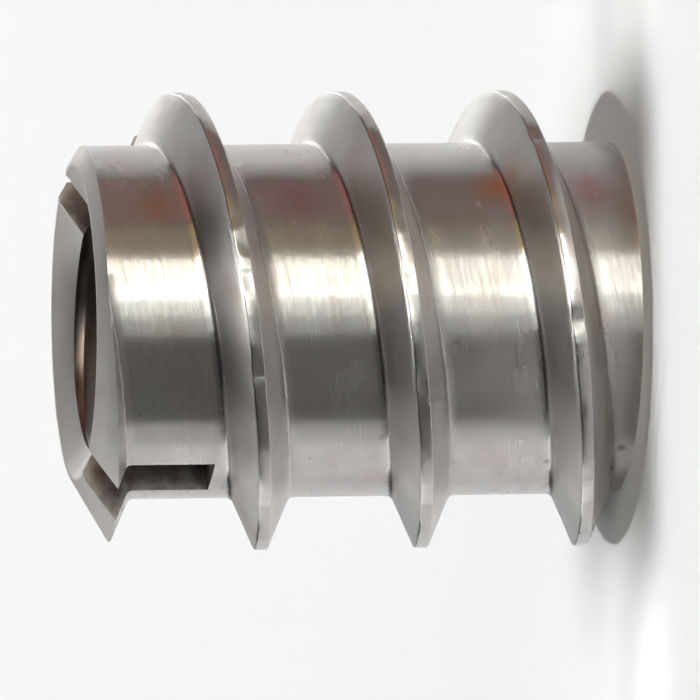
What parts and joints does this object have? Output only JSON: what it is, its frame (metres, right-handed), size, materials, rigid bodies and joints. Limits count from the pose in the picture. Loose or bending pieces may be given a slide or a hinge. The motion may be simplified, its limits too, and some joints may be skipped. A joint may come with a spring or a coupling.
{
  "type": "threaded insert",
  "caption": "Short slotted bush with a coarse, sharp outer wood thread cut off at both ends, a machine-threaded through bore with a wide countersink, and a driver slot across its chamfered end.",
  "frame": {"origin": "centre of the plain end face, on the axis of the bore", "axes": "+Z along the bore, from the plain end face up to the slotted end; +X and +Y across it, with the driver slot lying 27.5 degrees from +X towards +Y"},
  "size_m": [0.0106, 0.0106, 0.0127],
  "materials": {
    "steel": "bright turned steel"
  },
  "bodies": {
    "root": {"insert": "steel"}
  },
  "joints": []
}
